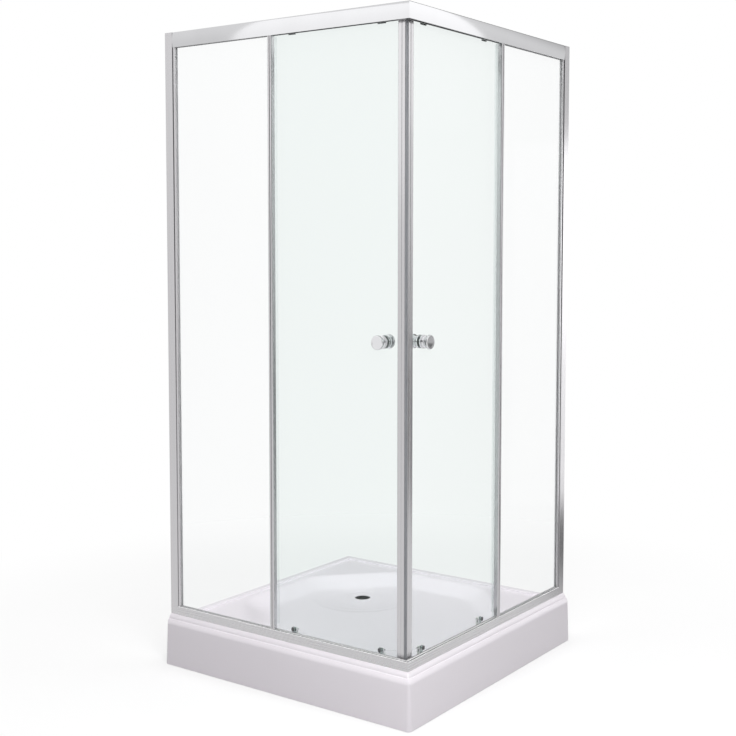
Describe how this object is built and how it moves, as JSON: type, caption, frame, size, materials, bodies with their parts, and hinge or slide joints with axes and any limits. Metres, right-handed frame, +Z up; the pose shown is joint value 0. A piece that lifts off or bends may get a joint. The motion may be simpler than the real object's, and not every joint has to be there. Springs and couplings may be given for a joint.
{
  "type": "shower cabin",
  "caption": "Square corner shower cabin: low acrylic tray, fixed glass panels and sliding glass doors that meet at the free corner.",
  "frame": {"origin": "on the floor, under the middle of the tray's foot", "axes": "+Z up; the room's walls stand at -X and +Y; the doors meet at the corner of +X and -Y"},
  "size_m": [0.9, 0.9, 1.88],
  "materials": {
    "acrylic": "glossy white vacuum-formed acrylic",
    "satin_aluminium": "satin bright anodised extrusion",
    "bright_rail": "polished chrome-effect aluminium head rail",
    "chrome": "polished chrome plate",
    "pane": "clear tempered safety glass",
    "dark_gasket": "dark grey glazing rubber",
    "soft_pvc": "translucent flexible seal",
    "nylon": "white nylon",
    "dark_nylon": "dark grey moulded nylon",
    "zinc_steel": "bright zinc-plated steel",
    "board": "raw particle board"
  },
  "bodies": {
    "frame": {"tray": "acrylic", "tray_board": "board", "support_tubes": "zinc_steel", "leg_studs": "zinc_steel", "leg_nuts": "zinc_steel", "leg_pads": "dark_nylon", "wall_channel_left": "satin_aluminium", "wall_channel_right": "satin_aluminium", "stile_left": "satin_aluminium", "stile_right": "satin_aluminium", "head_rail_left": "bright_rail", "head_rail_right": "bright_rail", "bottom_rail_left": "satin_aluminium", "bottom_rail_right": "satin_aluminium", "corner_cleats": "zinc_steel", "frame_screws": "zinc_steel", "track_stops": "dark_nylon", "fixed_glass_left": "pane", "fixed_glass_right": "pane", "pane_gaskets": "dark_gasket", "post_left": "satin_aluminium", "post_right": "satin_aluminium", "post_seals": "soft_pvc"},
    "door_left": {"door_glass_left": "pane", "lead_profile_left": "satin_aluminium", "magnet_seal_left": "soft_pvc", "trailing_seal_left": "soft_pvc", "hangers_left": "chrome", "sill_guides_left": "chrome", "clamp_bolts_left": "dark_nylon", "outer_knob_left": "chrome", "inner_knob_left": "chrome", "knob_washers_left": "soft_pvc", "plunger_spring_left_front": "zinc_steel", "plunger_spring_left_rear": "zinc_steel"},
    "door_right": {"door_glass_right": "pane", "lead_profile_right": "satin_aluminium", "magnet_seal_right": "soft_pvc", "trailing_seal_right": "soft_pvc", "hangers_right": "chrome", "sill_guides_right": "chrome", "clamp_bolts_right": "dark_nylon", "outer_knob_right": "chrome", "inner_knob_right": "chrome", "knob_washers_right": "soft_pvc", "plunger_spring_right_front": "zinc_steel", "plunger_spring_right_rear": "zinc_steel"},
    "head_roller_left_front": {"head_roller_left_front": "nylon"},
    "plunger_left_front": {"plunger_left_front": "nylon"},
    "sill_roller_left_front": {"sill_roller_left_front": "nylon"},
    "head_roller_left_rear": {"head_roller_left_rear": "nylon"},
    "plunger_left_rear": {"plunger_left_rear": "nylon"},
    "sill_roller_left_rear": {"sill_roller_left_rear": "nylon"},
    "head_roller_right_front": {"head_roller_right_front": "nylon"},
    "plunger_right_front": {"plunger_right_front": "nylon"},
    "sill_roller_right_front": {"sill_roller_right_front": "nylon"},
    "head_roller_right_rear": {"head_roller_right_rear": "nylon"},
    "plunger_right_rear": {"plunger_right_rear": "nylon"},
    "sill_roller_right_rear": {"sill_roller_right_rear": "nylon"}
  },
  "joints": [
    {"name": "door_left_slide", "type": "slide", "parent": "frame", "child": "door_left", "axis": [-1, 0, 0], "range_m": [0, 0.32]},
    {"name": "head_roller_left_front_spin", "type": "hinge", "parent": "door_left", "child": "head_roller_left_front", "pos_m": [0.318, -0.388, 1.862], "axis": [0, -1, 0], "range_deg": [-10, 2300]},
    {"name": "plunger_left_front_lift", "type": "slide", "parent": "door_left", "child": "plunger_left_front", "axis": [0, 0, 1], "range_m": [0, 0.004], "stiffness_N_per_m": 600, "springref_m": -0.004, "deforming": ["plunger_spring_left_front"]},
    {"name": "sill_roller_left_front_spin", "type": "hinge", "parent": "plunger_left_front", "child": "sill_roller_left_front", "pos_m": [0.318, -0.388, 0.16], "axis": [0, -1, 0], "range_deg": [-10, 5000]},
    {"name": "head_roller_left_rear_spin", "type": "hinge", "parent": "door_left", "child": "head_roller_left_rear", "pos_m": [0.015, -0.388, 1.862], "axis": [0, -1, 0], "range_deg": [-10, 2300]},
    {"name": "plunger_left_rear_lift", "type": "slide", "parent": "door_left", "child": "plunger_left_rear", "axis": [0, 0, 1], "range_m": [0, 0.004], "stiffness_N_per_m": 600, "springref_m": -0.004, "deforming": ["plunger_spring_left_rear"]},
    {"name": "sill_roller_left_rear_spin", "type": "hinge", "parent": "plunger_left_rear", "child": "sill_roller_left_rear", "pos_m": [0.015, -0.388, 0.16], "axis": [0, -1, 0], "range_deg": [-10, 5000]},
    {"name": "door_right_slide", "type": "slide", "parent": "frame", "child": "door_right", "axis": [0, 1, 0], "range_m": [0, 0.32]},
    {"name": "head_roller_right_front_spin", "type": "hinge", "parent": "door_right", "child": "head_roller_right_front", "pos_m": [0.388, -0.318, 1.862], "axis": [-1, 0, 0], "range_deg": [-10, 2300]},
    {"name": "plunger_right_front_lift", "type": "slide", "parent": "door_right", "child": "plunger_right_front", "axis": [0, 0, 1], "range_m": [0, 0.004], "stiffness_N_per_m": 600, "springref_m": -0.004, "deforming": ["plunger_spring_right_front"]},
    {"name": "sill_roller_right_front_spin", "type": "hinge", "parent": "plunger_right_front", "child": "sill_roller_right_front", "pos_m": [0.388, -0.318, 0.16], "axis": [-1, 0, 0], "range_deg": [-10, 5000]},
    {"name": "head_roller_right_rear_spin", "type": "hinge", "parent": "door_right", "child": "head_roller_right_rear", "pos_m": [0.388, -0.015, 1.862], "axis": [-1, 0, 0], "range_deg": [-10, 2300]},
    {"name": "plunger_right_rear_lift", "type": "slide", "parent": "door_right", "child": "plunger_right_rear", "axis": [0, 0, 1], "range_m": [0, 0.004], "stiffness_N_per_m": 600, "springref_m": -0.004, "deforming": ["plunger_spring_right_rear"]},
    {"name": "sill_roller_right_rear_spin", "type": "hinge", "parent": "plunger_right_rear", "child": "sill_roller_right_rear", "pos_m": [0.388, -0.015, 0.16], "axis": [-1, 0, 0], "range_deg": [-10, 5000]}
  ],
  "couplings": [
    {"joint": "head_roller_left_front_spin", "follows": "door_left_slide", "rad_per_m": 121.95},
    {"joint": "sill_roller_left_front_spin", "follows": "door_left_slide", "rad_per_m": 270.27},
    {"joint": "head_roller_left_rear_spin", "follows": "door_left_slide", "rad_per_m": 121.95},
    {"joint": "sill_roller_left_rear_spin", "follows": "door_left_slide", "rad_per_m": 270.27},
    {"joint": "head_roller_right_front_spin", "follows": "door_right_slide", "rad_per_m": 121.95},
    {"joint": "sill_roller_right_front_spin", "follows": "door_right_slide", "rad_per_m": 270.27},
    {"joint": "head_roller_right_rear_spin", "follows": "door_right_slide", "rad_per_m": 121.95},
    {"joint": "sill_roller_right_rear_spin", "follows": "door_right_slide", "rad_per_m": 270.27}
  ]
}
